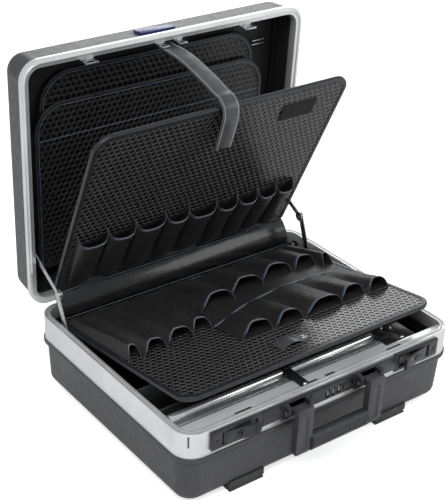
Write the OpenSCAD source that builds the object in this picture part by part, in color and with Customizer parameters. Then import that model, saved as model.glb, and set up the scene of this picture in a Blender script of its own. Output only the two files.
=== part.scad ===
// Tool case with two aluminium frames, a hinged lid on folding stays, and a two-board tool wallet.
// Millimetres. X runs along the front, Y to the back, Z up, the floor at 0. Drawn as it stands open.

/* [Case] */
// outer width of the frames
case_w = 480; // [360:1:600]
// outer depth of the frames
case_d = 378; // [300:1:460]
// height of the base frame's top face above the floor
rim_z = 124; // [80:1:180]
// outer corner radius of the frames
corner_r = 30; // [15:1:60]
// height of the base's aluminium band
band_h = 39; // [20:1:60]
// height of the lid above the rim when shut
lid_h = 58; // [40:1:100]
// height of the feet under the shell
foot_h = 10; // [4:1:20]
// wall thickness of the moulded shells
shell_t = 2.5; // [1.5:0.5:5]

/* [Hinge and stays] */
// hinge axis behind the frames
hinge_out = 5; // [4:0.5:10]
// hinge axis below the rim
hinge_drop = 12.4; // [6:0.1:30]
// angle of the open lid from shut
lid_open = 88; // [60:1:110]
// distance of the base pivot of a stay in front of the hinge axis
stay_fwd = 86; // [50:1:120]
// distance of the base pivot of a stay below the hinge axis
stay_low = 46; // [20:1:60]
// lower link, how far it leans back
stay_back = 40; // [0:1:60]
// lower link, how far it rises
stay_rise = 98; // [40:1:120]

/* [Wallet] */
// distance of the wallet's lower hinge line in front of the frames' back
wallet_in = 28; // [20:1:50]
// height of the wallet's lower hinge line above the rim
wallet_z = -19; // [-40:1:0]
// height of the spine between its two hinge lines
spine_l = 50.6; // [30:0.1:70]
// lean of the open spine
spine_lean = 24.5; // [0:0.5:40]
// clearance of the upper board to the frames' outside, on each side
upper_side = 25; // [20:1:80]
// how much shorter the upper board is than the frames are deep
upper_short = 64; // [60:1:160]
// forward lean of the open upper board
upper_lean = 24.7; // [0:0.1:60]
// clearance of the lower board to the frames' outside, on each side
lower_side = 18.5; // [16:0.5:80]
// how much shorter the lower board is than the frames are deep
lower_short = 52; // [50:1:160]
// rise of the lower board towards the front
lower_rise = 9; // [0:0.5:30]
// thickness of a board
board_t = 4; // [2:0.5:8]
// height of a pocket's mouth
pocket_h = 16; // [8:1:24]

/* [Handle and latches] */
// distance between the handle's arms, centre to centre
handle_span = 128; // [100:1:160]
// width of an arm
arm_w = 27; // [15:1:35]
// how far the grip's centre hangs below the rim
grip_drop = 69; // [50:1:90]
// opening of a latch lever at rest
lever_open = 12; // [0:1:40]
// pitch of the number dials
dial_pitch = 10; // [8:0.5:14]
// radius of a dial
dial_r = 6.2; // [5:0.1:9]

/* [Hidden] */
$fn = 48;
e = 0.02;
hd = case_d / 2;
hw = case_w / 2;
hy = hd + hinge_out;
hz = rim_z - hinge_drop;
fy = -hd - 5;
shell_top = rim_z - band_h;
wallet_y = hd - wallet_in;
upper_w = case_w - 2 * upper_side;
upper_l = case_d - upper_short;
lower_w = case_w - 2 * lower_side;
lower_l = case_d - lower_short;
hand_x = handle_span / 2;
pivot_y = fy - 6.5;
pivot_z = rim_z - 15;
ay = hy - stay_fwd;
az = hz - stay_low;
cy = ay + stay_back;
cz = az + stay_rise;
by = hy + stay_back;
bz = hz + stay_rise;
wz = rim_z + wallet_z;
uy = wallet_y + spine_l * sin(spine_lean);
uz = wz + spine_l * cos(spine_lean);
dial_y = fy - 1.5 + dial_r;
dial_z = rim_z - 17;
lever_x = hw - 60;
lever_y = fy + 2.5;
key_x = hw - 83;
// the ribs' ends are as far from the lid's edges as its corners need
rib_y = hd - 49;
leaf_x = hw - 110;
front_y = pivot_y - 11.5 - 10.53;
back_y = hy + (rim_z + lid_h + 1.2 - hz) * sin(lid_open) + (rib_y - hy) * cos(lid_open);
mid_y = (front_y + back_y) / 2;

// the origin lies on the floor below the middle of the open case
module place() translate([0, -mid_y, 0]) children();
// flat shape with four rounded corners
module rr(w, d, r) {
  square([w - 2 * r, d], center = true);
  square([w, d - 2 * r], center = true);
  for (x = [-1, 1], y = [-1, 1]) translate([x * (w / 2 - r), y * (d / 2 - r)]) circle(r);
}
// slab inset by u from the frames' outline, from height a to b, tapering in by k more
module slab(u, a, b, k = 0) {
  w = case_w / 2 - u; d = case_d / 2 - u; r = max(corner_r - u, 3);
  if (k == 0) translate([0, 0, a]) linear_extrude(b - a) rr(2 * w, 2 * d, r);
  else {
    for (x = [-1, 1], y = [-1, 1]) translate([x * (w - r), y * (d - r), a]) cylinder(r1 = r, r2 = r - k, h = b - a);
    translate([0, d - r, 0]) rotate([90, 0, 0]) linear_extrude(2 * (d - r)) polygon([[-w, a], [w, a], [w - k, b], [k - w, b]]);
    translate([r - w, 0, 0]) rotate([90, 0, 90]) linear_extrude(2 * (w - r)) polygon([[-d, a], [d, a], [d - k, b], [k - d, b]]);
  }
}
// straight ring between insets u and v
module ring(u, v, a, b) {
  difference() { slab(u, a, b); slab(v, a - 1, b + 1); }
}
// box from two corners
module box(a, b) { translate(a) cube(b - a); }
module xrod(r, x0, x1, y, z) { translate([x0, y, z]) rotate([0, 90, 0]) cylinder(r = r, h = x1 - x0); }
module zrod(r, z0, z1, x, y) { translate([x, y, z0]) cylinder(r = r, h = z1 - z0); }
module yrod(r, y0, y1, x, z) { translate([x, y0, z]) rotate([-90, 0, 0]) cylinder(r = r, h = y1 - y0); }
// turns what is drawn shut into the open lid
module open_lid() { translate([0, hy, hz]) rotate([-lid_open, 0, 0]) translate([0, -hy, -hz]) children(); }
// puts a board drawn flat (width on X, length on Y, face up) at a hinge line, rising by r degrees
module board_at(y, z, r) { translate([0, y, z]) rotate([-r, 0, 0]) mirror([0, 1, 0]) children(); }
module upper_at() { board_at(uy, uz, 90 - upper_lean) mirror([0, 0, 1]) children(); }
module lower_at() { board_at(wallet_y, wz, lower_rise) children(); }

module base_shell() color("#565656") place() difference() {
  union() {
    slab(2.2, shell_top - 1, rim_z - 6);
    slab(-2.4, shell_top - 6, shell_top);
    mirror([0, 0, 1]) slab(-2.4, 5.9 - shell_top, 13.5 - shell_top, 5.4);
    mirror([0, 0, 1]) slab(3, 11 - shell_top, -19, 2.2);
    translate([0, 0, 19 + e]) mirror([0, 0, 1]) { slab(5.2, 0, 4, 1.2); slab(6.4, 3.9, 7.5, 2.6); slab(9, 7.4, 19 + e - foot_h, 4); }
  }
  slab(2.2 + shell_t, shell_top - 10, rim_z + 1);
  mirror([0, 0, 1]) slab(5.5, -shell_top, -21, 2.2);
  slab(10.4, foot_h + shell_t, 22);
  box([-15, -hd, dial_z - 8], [19, -hd + 9, rim_z]);
}
module base_frame() color("#d9dbdd") place() difference() {
  union() {
    ring(0, 2, shell_top, rim_z - 3);
    ring(0, 9, rim_z - 3.5, rim_z);
    ring(7, 9, rim_z - 20, rim_z - 3);
    ring(-0.8, 2, shell_top, shell_top + 3);
  }
  ring(3, 6, rim_z - 2.6, rim_z + 1);
  box([-15, -hd - 1, dial_z - 7], [19, -hd + 8.9, dial_z + 7]);
  box([20, -hd - 1, dial_z - 5], [40, -hd + 2.1, dial_z + 5]);
  box([-hw, -hd + 6.8, rim_z - 22], [hw, -hd + 9.1, rim_z - 4]);
}
module lock_ledge() color("#c4c7ca") place() difference() {
  union() {
    box([9 - hw, -hd + 9.1, rim_z - 8], [hw - 9, -hd + 25, rim_z - 6]);
    box([hw - 113, -hd + 23, rim_z - 22], [hw - 9, -hd + 25, rim_z - 7]);
    box([9 - hw, -hd + 24, rim_z - 8], [hw - 111.5, -hd + 33, rim_z - 6]);
    box([13 - hw, -hd + 31, rim_z - 22], [hw - 111.5, -hd + 33, rim_z - 7]);
  }
  for (x = [105 - hw, hw - 105]) box([x - 14, -hd + 14, rim_z - 9], [x + 14, -hd + 19.5, rim_z - 5]);
  for (x = [-15.5, 15.5]) box([x - 8.5, -hd + 14, rim_z - 9], [x + 8.5, -hd + 19.5, rim_z - 5]);
  for (s = [0, 1]) mirror([s, 0, 0]) translate([9 - hw, -hd + 9.1, 0]) difference() {
    box([-1, -1, rim_z - 30], [21, 21, rim_z]);
    zrod(21, rim_z - 31, rim_z + 1, 21, 21);
  }
}
module base_liner() color("#1d1d1f") place() difference() {
  union() {
    difference() { slab(10.8, foot_h + shell_t + 0.4, rim_z - 22.5); slab(12.3, foot_h + shell_t + 2.4, rim_z); }
    ring(9.3, 12.3, rim_z - 23, rim_z - 20.5);
    box([hw - 14.5, -hd + 26, rim_z - 31], [hw - 11.5, hd - 209, rim_z - 29.5]);
    box([hw - 17.5, -hd + 26, rim_z - 49], [hw - 11.5, hd - 209, rim_z - 47.5]);
    for (s = [-1, 1]) box([s * (hw - 11.45) - 0.85, wallet_y - 8, rim_z - 24], [s * (hw - 11.45) + 0.85, wallet_y + 4, rim_z - 13]);
  }
  box([-hw, -hd, rim_z - 24], [hw, -hd + 25.2, rim_z]);
  xrod(2.45, -hw, hw, ay, az);
}
rail_y = -hd + 57;
module front_rail() color("#cfd2d5") place() difference() {
  union() {
    box([13 - hw, -hd + 33.4, rim_z - 9.5], [hw - 111, rail_y - 1, rim_z - 8]);
    box([13 - hw, -hd + 33.4, rim_z - 9.5], [hw - 111, -hd + 36, rim_z - 6]);
    box([13 - hw, -hd + 38, rim_z - 9.5], [hw - 111, -hd + 46, rim_z - 6.6]);
    box([13 - hw, rail_y - 1, rim_z - 42], [hw - 111, rail_y + 0.6, rim_z - 8]);
    xrod(5.5, 13 - hw, hw - 111, rail_y, rim_z - 7.5);
  }
  xrod(3.9, 12 - hw, hw - 110, rail_y, rim_z - 7.5);
  box([-39.2, -hd + 20, rim_z - 14.6], [-23.2, rail_y + 6.8, rim_z]);
}
module tray_dividers() color("#b9bcbf") place() for (y = [111 - hd, 167 - hd]) difference() {
  box([13 - hw, y - 2, foot_h + shell_t + 2.6], [hw - 27, y + 2, rim_z - 36]);
  box([12 - hw, y - 1, rim_z - 41], [hw - 26, y + 1, rim_z - 35]);
}
bracket_rivets = [[hw - 86, 65 - hd], [hw - 74, 59 - hd], [hw - 76, 31 - hd]];
module rail_end_bracket() color("#141416") place() difference() {
  union() {
    box([hw - 110.7, -hd + 25.4, rim_z - 9], [hw - 54, -hd + 64, rim_z - 6]);
    box([hw - 110.7, -hd + 46, rim_z - 40], [hw - 54, -hd + 49, rim_z - 7]);
    box([hw - 110.7, -hd + 40, rim_z - 9], [hw - 94, -hd + 56, rim_z - 1.5]);
  }
  for (p = bracket_rivets) zrod(2.05, rim_z - 10, rim_z, p[0], p[1]);
}
module rail_clip() color("#141416") place() difference() {
  union() {
    box([-38.2, -hd + 16.2, rim_z - 5.98], [-24.2, rail_y, rim_z - 3.2]);
    translate([-38.2, rail_y, rim_z - 7.5]) rotate([0, 90, 0]) intersection() {
      difference() { cylinder(r = 5.9, h = 14); translate([0, 0, -1]) cylinder(r = 3.6, h = 16); }
      translate([-8, -1, -1]) cube([16, 12, 18]);
    }
    zrod(7, rim_z - 5.98, rim_z - 3.2, -31.2, -hd + 16.3);
  }
  zrod(2.05, rim_z - 7, rim_z, -31.2, -hd + 16.3);
}
module rivet(x, y, z, r = 2, h = 4) { zrod(r, z - h, z + 0.1, x, y); translate([x, y, z]) intersection() { translate([0, 0, -r * 1.2]) sphere(r * 2.1); zrod(r * 1.7, 0, r, 0, 0); } }
module tray_rivets() color("#d0d0d0") place() {
  for (p = bracket_rivets) rivet(p[0], p[1], rim_z - 6, 2, 3.2);
  rivet(-31.2, -hd + 16.3, rim_z - 3.2, 2, 2.7);
}
module feet() color("#202022") place() for (sx = [-1, 1], sy = [-1, 1]) scale([sx, sy, 1]) difference() {
  union() {
    box([hw - 136, -hd + 9, 0], [hw - 78, -hd + 52, 10.4]);
    box([hw - 136, -hd + 3.6, 0], [hw - 78, -hd + 14, 16]);
  }
  translate([0, 0, 18.9 + e]) mirror([0, 0, 1]) { slab(5.2, 0, 4, 1.2); slab(6.4, 3.9, 7.5, 2.6); slab(9, 7.4, 19 + e - foot_h, 4); }
  translate([hw - 137, -hd + 3.6, 0]) rotate([45, 0, 0]) cube([60, 4, 4], center = false);
  box([hw - 128, -hd + 20, -1], [hw - 86, -hd + 44, 2]);
}
module plate_body(x0, x1, z0, z1) {
  box([x0, fy, z0 + 1], [x1, -hd, z1 - 1]);
  box([x0 + 1, fy + 1, z0], [x1 - 1, -hd, z1]);
}
module lock_plate() color("#3c3c3e") place() difference() {
  union() {
    plate_body(121.2 - hw, hw - 121.2, rim_z - 28, rim_z - 4);
    box([-36, fy - 0.8, rim_z - 26.5], [36, fy + 1, rim_z - 5.5]);
    for (x = [-14.6, 16.6]) box([x, -hd - 1, dial_z - 4], [x + 2, -hd + 5, dial_z + 4]);
  }
  for (i = [-1, 0, 1]) box([2 + i * dial_pitch - 3.4, fy - 2, dial_z - 6.8], [2 + i * dial_pitch + 3.4, -hd + 1, dial_z + 6.8]);
  box([21, fy - 2, dial_z - 5.5], [39, -hd + 1, dial_z + 5.5]);
  box([18.7, fy - 2, dial_z - 8], [19.3, fy + 1, dial_z + 8]);
  yrod(1.3, fy - 2, -hd + 1, -37.5, rim_z - 9.5);
  xrod(1.55, -20, 22, dial_y, dial_z);
}
module latch_plate() difference() {
  plate_body(hw - 120.8, hw - 38, rim_z - 32, rim_z - 3);
  box([hw - 113, fy - 1, rim_z - 27.5], [hw - 55, -hd - 1.2, rim_z - 8]);
  zrod(2.8, rim_z - 27.5, rim_z - 8, lever_x, lever_y);
  zrod(1.25, rim_z - 30, rim_z - 5, lever_x, lever_y);
  box([hw - 129, fy - 0.1, rim_z - 32.5], [hw - 36, fy + 0.6, rim_z - 29.8]);
  yrod(1.6, fy - 1, fy + 2, hw - 47, rim_z - 17.5);
}
module latch_plate_right() color("#3c3c3e") place() latch_plate();
module latch_plate_left() color("#3c3c3e") place() mirror([1, 0, 0]) latch_plate();
module handle_brackets() color("#4a4a4c") place() for (s = [-1, 1]) difference() {
  union() {
    box([s * hand_x - 0.375 * hand_x, fy - 1.5, rim_z - 30], [s * hand_x + 0.375 * hand_x, fy, rim_z - 5]);
    for (k = [-1, 1]) translate([s * hand_x + k * 18, 0, 0]) {
      box([-3.5, pivot_y, pivot_z - 6.4], [3.5, fy - 1, rim_z - 5.2]);
      xrod(6.4, -3.5, 3.5, pivot_y, pivot_z);
      box([-3.5, pivot_y - 6.4, pivot_z], [3.5, fy - 1, rim_z - 6]);
    }
  }
  xrod(2.5, s * hand_x - 30, s * hand_x + 30, pivot_y, pivot_z);
}
module handle_pins() color("#b0b0b0") place() for (s = [-1, 1]) {
  xrod(2.5, s * hand_x - 21.5, s * hand_x + 21.5, pivot_y, pivot_z);
}
module knuckles(xs, up) for (x = [-leaf_x, leaf_x], k = xs) {
  difference() {
    union() {
      xrod(4.6, x + k[0], x + k[1], hy, hz);
      if (up) box([x + k[0], hd + 0.2, hz], [x + k[1], hd + 2.6, hz + 3]);
      else box([x + k[0], hd, hz - 3], [x + k[1], hd + 2.6, hz]);
    }
    xrod(2.05, x + k[0] - 1, x + k[1] + 1, hy, hz);
  }
}
module base_hinge_leaves() color("#b4b7ba") place() {
  for (x = [-leaf_x, leaf_x]) difference() {
    box([x - 30, hd, hz - 23.4], [x + 30, hd + 1.6, hz - 1]);
    for (k = [-20, 0, 20]) yrod(2, hd - 1, hd + 3, x + k, hz - 15);
    box([x - 10.3, hd - 1, hz - 5], [x + 10.3, hd + 3, hz + 1]);
  }
  knuckles([[-30, -10.3], [10.3, 30]], false);
}
module hinge_pins() color("#9a9da0") place() for (x = [-leaf_x, leaf_x]) xrod(2, x - 31, x + 31, hy, hz);
module lid_hinge_leaves() color("#b4b7ba") place() open_lid() {
  for (x = [-leaf_x, leaf_x]) difference() {
    box([x - 30, hd + 0.2, hz + 6], [x + 30, hd + 1.8, rim_z + 12]);
    for (k = [-20, 0, 20]) yrod(2, hd - 1, hd + 3, x + k, rim_z + 6);
  }
  for (x = [-leaf_x, leaf_x]) box([x - 9.7, hd + 0.2, hz + 2], [x + 9.7, hd + 1.8, hz + 7]);
  knuckles([[-9.7, 9.7]], true);
}
module stay_base_pins() color("#c8cacc") place() for (s = [-1, 1]) scale([s, 1, 1]) {
  xrod(2.4, hw - 16.4, hw - 10.7, ay, az);
  xrod(4.4, hw - 17.2, hw - 16.3, ay, az);
  xrod(6, hw - 10.75, hw - 6.4, ay, az);
}
module dial_shaft() color("#9a9da0") place() xrod(1.5, -14.6, 18.6, dial_y, dial_z);

module lid_shell() color("#565656") place() open_lid() difference() {
  union() {
    slab(2, rim_z + 6, rim_z + 8.1);
    slab(1.6, rim_z + 8, rim_z + 12);
    slab(3, rim_z + 11.9, rim_z + lid_h - 10, 3);
    slab(6, rim_z + lid_h - 10.1, rim_z + lid_h - 6, 1.2);
    slab(7.2, rim_z + lid_h - 6.1, rim_z + lid_h - 2.5, 2.6);
    slab(9.8, rim_z + lid_h - 2.6, rim_z + lid_h, 4.5);
    for (k = [-2, -1, 1, 2]) let (x = k * (hw - 90) / 2) box([x - 22, -rib_y, rim_z + lid_h - 1], [x + 22, rib_y, rim_z + lid_h + 1.2]);
  }
  slab(8.6, rim_z + 5, rim_z + lid_h - 7);
  slab(12, rim_z + 5, rim_z + lid_h - shell_t);
}
module lid_frame() color("#d9dbdd") place() open_lid() {
  ring(0, 2, rim_z + 0.1, rim_z + 8);
  ring(0, 11, rim_z + 0.1, rim_z + 2);
  ring(8.6, 11, rim_z + 0.1, rim_z + 14);
  ring(2, 8.7, rim_z + 4.4, rim_z + 6);
  difference() {
    ring(3.4, 5.6, rim_z - 2.2, rim_z + 1);
    box([-hw, hd - 59, rim_z - 3], [hw, hd, rim_z + 0.1]);
  }
}
module lid_strikers() color("#dcdee0") place() open_lid() for (p = [[105 - hw, 21], [-15.5, 14], [15.5, 14], [hw - 105, 21]])
  translate([p[0], -hd + 15.7, rim_z - 8]) difference() {
    union() {
      box([-p[1] / 2, 0, 0], [p[1] / 2, 2, 19]);
      box([-p[1] / 2, -4.7, 14], [p[1] / 2, 2, 16]);
    }
    box([-p[1] / 2 + 3, -1, 2.4], [p[1] / 2 - 3, 3, 9]);
  }
// height, shut, of the lid lining's inner face
lid_floor = rim_z + lid_h - 3.7;
module lid_panel() color("#161618") place() difference() {
  open_lid() difference() {
    union() { slab(11.2, rim_z + 14.2, rim_z + lid_h - 11); slab(12.2, rim_z + lid_h - 12, rim_z + lid_h - 2.7); }
    slab(12.6, rim_z + 14, rim_z + lid_h - 11.4);
    slab(15, rim_z + lid_h - 12, lid_floor);
  }
  xrod(2.45, -hw, hw, by, bz);
}
// flat shape with its two front corners rounded
module tongue(w, y0, y1, r) {
  translate([-w / 2, y0 + r]) square([w, y1 - y0 - r]);
  translate([-w / 2 + r, y0]) square([w - 2 * r, r + 1]);
  for (s = [-1, 1]) translate([s * (w / 2 - r), y0 + r]) circle(r);
}
module doc_pocket(w, y0, y1, r, z0, z1) {
  translate([0, 0, z0]) linear_extrude(2) tongue(w, y0, y1, r);
  for (s = [-1, 1]) box([s * (w / 2 - 2.5) - 2.5, y0 + r, z0 + 1], [s * (w / 2 - 2.5) + 2.5, y1, z1]);
  box([-w / 2, y1 - 5, z0 + 1], [w / 2, y1, z1]);
}
module document_pocket_rear() color("#1b1b1d") place() open_lid() doc_pocket(case_w - 104, 42 - hd, hd - 39, 50, lid_floor - 7.1, lid_floor);
module document_pocket_front() color("#1b1b1d") place() open_lid() doc_pocket(case_w - 76, 83 - hd, hd - 33, 46, lid_floor - 15.8, lid_floor);
module wire_clip() color("#c8cacc") place() open_lid() {
  for (k = [0, 6]) xrod(1.1, hw - 55.5, hw - 33, 63 - hd + k, lid_floor - 6.3);
  for (x = [hw - 54, hw - 35], k = [0, 6]) zrod(1.1, lid_floor - 6.3, lid_floor, x, 63 - hd + k);
}
module badge_plate() color("#2c3c78") place() open_lid() translate([-40, 0, 0]) rotate([90, 0, 90]) linear_extrude(57)
  polygon([for (p = [[16, 0.05], [16, 3.6], [38, 3.6], [38, 0.05]]) [3 + (p[0] - 11.9) / 12.03 - hd - p[1], rim_z + p[0]]]);
// ribbon of thickness t along points in the side plane, centred on x = -6
module band(start, w, t, end) {
  p = concat(start, end);
  n = len(p) - 1;
  d = [for (i = [0 : n]) let (q = p[min(i + 1, n)] - p[max(i - 1, 0)]) [-q[1], q[0]] / norm(q) * t / 2];
  translate([-6 - w / 2, 0, 0]) rotate([90, 0, 90]) linear_extrude(w)
    polygon(concat([for (i = [0 : n]) p[i] + d[i]], [for (i = [n : -1 : 0]) p[i] - d[i]]));
}
module strap() color("#2b2b2d") place() {
  tx = uy - (upper_l + 3) * sin(upper_lean);
  tz = uz + (upper_l + 3) * cos(upper_lean);
  // its fixed end on the lid, and how far that lies from the upper board's edge
  ay1 = hy + (16.86 - hd - hy) * cos(lid_open) + (rim_z + 24.4 - hz) * sin(lid_open);
  az1 = hz - (16.86 - hd - hy) * sin(lid_open) + (rim_z + 24.4 - hz) * cos(lid_open);
  ky = (ay1 - tx) / 168.47;
  kz = (az1 - tz) / 39.75;
  band([for (q = [[168.5, 39.8], [161.5, 39.8], [157.5, 38.6], [154.5, 36.4], [149.5, 35.3], [136.5, 35], [127.5, 35], [118.5, 34.6], [98.5, 32], [76.5, 27], [55.5, 21.5], [35.5, 15.5],
    [18.5, 9.5]]) [tx + q[0] * ky, tz + q[1] * kz]], 29, 2.6, [[tx + 8, tz + 7.5], [tx + 2, tz + 4], [tx - 3, tz - 1], [tx - 5.6, tz - 8],
    [tx - 5.8, tz - 16], [tx - 3, tz - 28], [tx + 2, tz - 44], [tx + 10, tz - 68]]);
}
module strap_anchor() color("#1a1a1c") place() open_lid() {
  box([-23, -hd + 12.6, rim_z + 15], [11, -hd + 14.6, rim_z + 27]);
  for (x = [-17, 5]) yrod(2.4, -hd + 14.5, -hd + 15.2, x, rim_z + 21);
}
module stay_lid_pins() color("#c8cacc") place() for (s = [-1, 1]) scale([s, 1, 1]) {
  xrod(2.4, hw - 17.4, hw - 11, by, bz);
  xrod(4.4, hw - 18, hw - 17, by, bz);
  xrod(5, hw - 11.15, hw - 8.7, by, bz);
}
// link between two points in the side plane, x0 to x1
module link(p, q, r, x0, x1, hole) difference() {
  union() {
    for (c = [p, q]) xrod(r, x0, x1, c[0], c[1]);
    translate([x0, p[0], p[1]]) rotate([atan2(q[1] - p[1], q[0] - p[0]), 0, 0])
      box([0, 0, -r * 0.82], [x1 - x0, norm(q - p), r * 0.82]);
  }
  for (c = [p, q]) xrod(hole, x0 - 1, x1 + 1, c[0], c[1]);
}
module stay_lower() {
  link([ay, az], [cy, cz], 6.4, hw - 14.1, hw - 12.5, 2.45);
  xrod(2.4, hw - 17.1, hw - 12.6, cy, cz);
  xrod(2.6, hw - 14.1, hw - 12.5, cy, cz);
  xrod(7.6, hw - 17.8, hw - 16.8, cy, cz);
}
module stay_lower_right() color("#c9cbcd") place() stay_lower();
module stay_lower_left() color("#c9cbcd") place() mirror([1, 0, 0]) stay_lower();
module stay_upper() link([cy, cz], [by, bz], 4.6, hw - 16.3, hw - 14.6, 2.45);
module stay_upper_right() color("#c9cbcd") place() stay_upper();
module stay_upper_left() color("#c9cbcd") place() mirror([1, 0, 0]) stay_upper();

module handle_arms() color("#515153") place() for (s = [-1, 1]) translate([s * hand_x, 0, 0]) difference() {
  union() {
    xrod(4.7, -arm_w / 2, arm_w / 2, pivot_y, pivot_z);
    box([-arm_w / 2, pivot_y - 14, pivot_z - 4.7], [arm_w / 2, pivot_y, pivot_z + 4.7]);
    box([-arm_w / 2, pivot_y - 14, pivot_z + 3], [arm_w / 2, pivot_y - 10.6, pivot_z + 6.6]);
    xrod(3, -arm_w / 2, arm_w / 2, pivot_y - 14, pivot_z + 3.6);
    box([-arm_w / 2, pivot_y - 17, rim_z - 77], [arm_w / 2, pivot_y - 6, pivot_z + 3.6]);
    box([-arm_w / 2 + 2, pivot_y - 15, rim_z - 82], [arm_w / 2 - 2, pivot_y - 7, rim_z - 76]);
  }
  xrod(2.55, -20, 20, pivot_y, pivot_z);
  xrod(4.03, -13.5 * s - 3.05, -13.5 * s + 3.05, pivot_y - 11.5, rim_z - grip_drop);
  box([-4.5, pivot_y - 18, rim_z - 73], [4.5, pivot_y - 16.2, pivot_z - 6]);
}
module handle_grip() color("#3a3a3c") place() translate([0, pivot_y - 11.5, rim_z - grip_drop]) {
  difference() {
    scale([1, 0.78, 1]) rotate([0, 90, 0]) cylinder(r = 13.5, h = handle_span - arm_w - 0.02, center = true);
    box([-44, -12, -2.5], [44, -9.9, 2.5]);
  }
  for (s = [-1, 1]) xrod(4, s * (hand_x - arm_w / 2) - 3, s * (hand_x - arm_w / 2) + 3, 0, 0);
}
module lever_at() translate([lever_x, lever_y, 0]) rotate([0, 0, lever_open]) children();
module latch_lever() lever_at() difference() {
  union() {
    box([-51, -2.6, rim_z - 27], [-1, 0.4, rim_z - 8.5]);
    box([-51, -4, rim_z - 25], [-44, -2, rim_z - 10.5]);
    zrod(2.3, rim_z - 27, rim_z - 8.5, 0, 0);
    zrod(1.2, rim_z - 29.6, rim_z - 5.4, 0, 0);
  }
  yrod(5.06, -5, 3, key_x - lever_x, rim_z - 17.5);
  for (z = [12.5, 15, 20, 22.5]) box([-49.5, -5, rim_z - z - 0.4], [-44.5, -3.4, rim_z - z + 0.4]);
}
module latch_lever_right() color("#4a4a4c") place() latch_lever();
module latch_lever_left() color("#4a4a4c") place() mirror([1, 0, 0]) latch_lever();
module key_cylinder() lever_at() difference() {
  union() {
    yrod(5, -3.4, 0.9, key_x - lever_x, rim_z - 17.5);
  }
  box([key_x - lever_x - 0.7, -4, rim_z - 21], [key_x - lever_x + 0.7, 0, rim_z - 14.5]);
  yrod(1.3, -4, 0, key_x - lever_x, rim_z - 15.4);
}
module key_cylinder_right() color("#2a2a2c") place() key_cylinder();
module key_cylinder_left() color("#2a2a2c") place() mirror([1, 0, 0]) key_cylinder();
module dial(i) translate([2 + i * dial_pitch, dial_y, dial_z]) rotate([0, 90, 0]) difference() {
  cylinder(r = dial_r, h = 6, center = true);
  cylinder(r = 1.56, h = 8, center = true);
  for (a = [0 : 36 : 359]) rotate([0, 0, a + 18]) translate([dial_r + 0.3, 0, 0]) cube([1.4, 0.7, 8], center = true);
}
module dial_a() color("#d8d8d4") place() dial(-1);
module dial_b() color("#d8d8d4") place() dial(0);
module dial_c() color("#d8d8d4") place() dial(1);
module release_button() color("#5a5a5c") place() difference() {
  box([21.4, fy - 1.8, dial_z - 5.1], [34.4, -hd - 0.3, dial_z + 5.1]);
  for (x = [24, 26.5, 29, 31.5]) box([x, fy - 3, dial_z - 3.6], [x + 1, fy - 1.1, dial_z + 3.6]);
}

// hinge line of the wallet: barrels on a rod along X, reaching w towards +Z
module barrels(xs, r, w, a, b) for (x = xs) difference() {
  union() { xrod(2.2, x[0], x[1], 0, 0); box([x[0], a, 0], [x[1], b, w]); }
  xrod(r, x[0] - 1, x[1] + 1, 0, 0);
}
module wallet_rod() color("#3a3a3c") place() {
  xrod(1.2, 12.65 - hw, hw - 12.65, wallet_y, wz);
  for (s = [-1, 1]) xrod(4.4, s * (hw - 15.05) - 1.35, s * (hw - 15.05) + 1.35, wallet_y, wz);
}
// spine drawn upright at the hinge line, then leant back
module spine() color("#1f1f21") place() translate([0, wallet_y, wz]) rotate([-spine_lean, 0, 0]) {
  translate([-spine_w, 0, 0]) rotate([90, 0, 90]) linear_extrude(2 * spine_w) intersection() {
    translate([36.5, spine_l / 2]) circle(44, $fn = 96);
    translate([-8, 2.8]) square([11, spine_l - 5.6]);
  }
  barrels(spine_xs, 1.26, 3.5, -1, 2.2);
  translate([0, 0, spine_l]) mirror([0, 0, 1]) barrels(spine_xs, 1.22, 3.5, -1, 2.2);
}
spine_w = hw - 27;
spine_xs = [[-spine_w, 83 - spine_w], [-40, 40], [spine_w - 83, spine_w]];
board_xs = [[83.4 - spine_w, -40.4], [40.4, spine_w - 83.4]];
module spine_rod() color("#3a3a3c") place() xrod(1.2, -spine_w, spine_w, uy, uz);
module board_sheet(w, l, s0, r) {
  translate([-w / 2, s0]) square([w, l - s0 - r]);
  translate([-w / 2 + r, l - r - 1]) square([w - 2 * r, r + 1]);
  for (s = [-1, 1]) translate([s * (w / 2 - r), l - r]) circle(r);
}
module board(w, l, r) linear_extrude(board_t, center = true) board_sheet(w - 8, l - 4, 7, r - 4);
module binding(w, l, r) difference() {
  linear_extrude(board_t + 2.4, center = true) board_sheet(w, l, 3, r);
  linear_extrude(board_t + 8, center = true) board_sheet(w - 16, l - 8, 11, r - 8);
  linear_extrude(board_t, center = true) board_sheet(w - 8, l - 4, 7, r - 4);
}
module board_barrels() rotate([-90, 0, 0]) barrels(board_xs, 1.26, 3.2, -1.4, 1.4);
module upper_board() color("#2a2a2c") place() upper_at() board(upper_w, upper_l, 28);
module upper_binding() color("#1a1a1c") place() upper_at() { binding(upper_w, upper_l, 28); board_barrels(); }
module lower_board() color("#2a2a2c") place() lower_at() board(lower_w, lower_l, 26);
module lower_binding() color("#1a1a1c") place() lower_at() { binding(lower_w, lower_l, 26); board_barrels(); }
// half-round arch across a pocket, w wide and h high
module arch(w, h) intersection() {
  scale([w / 2, h]) circle(1, $fn = 32);
  translate([-w / 2 - 1, 0]) square([w + 2, h + 1]);
}
module arch_slab(w, h, s) translate([0, s, board_t / 2]) rotate([90, 0, 0]) linear_extrude(0.1, center = true) arch(w, h);
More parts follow.
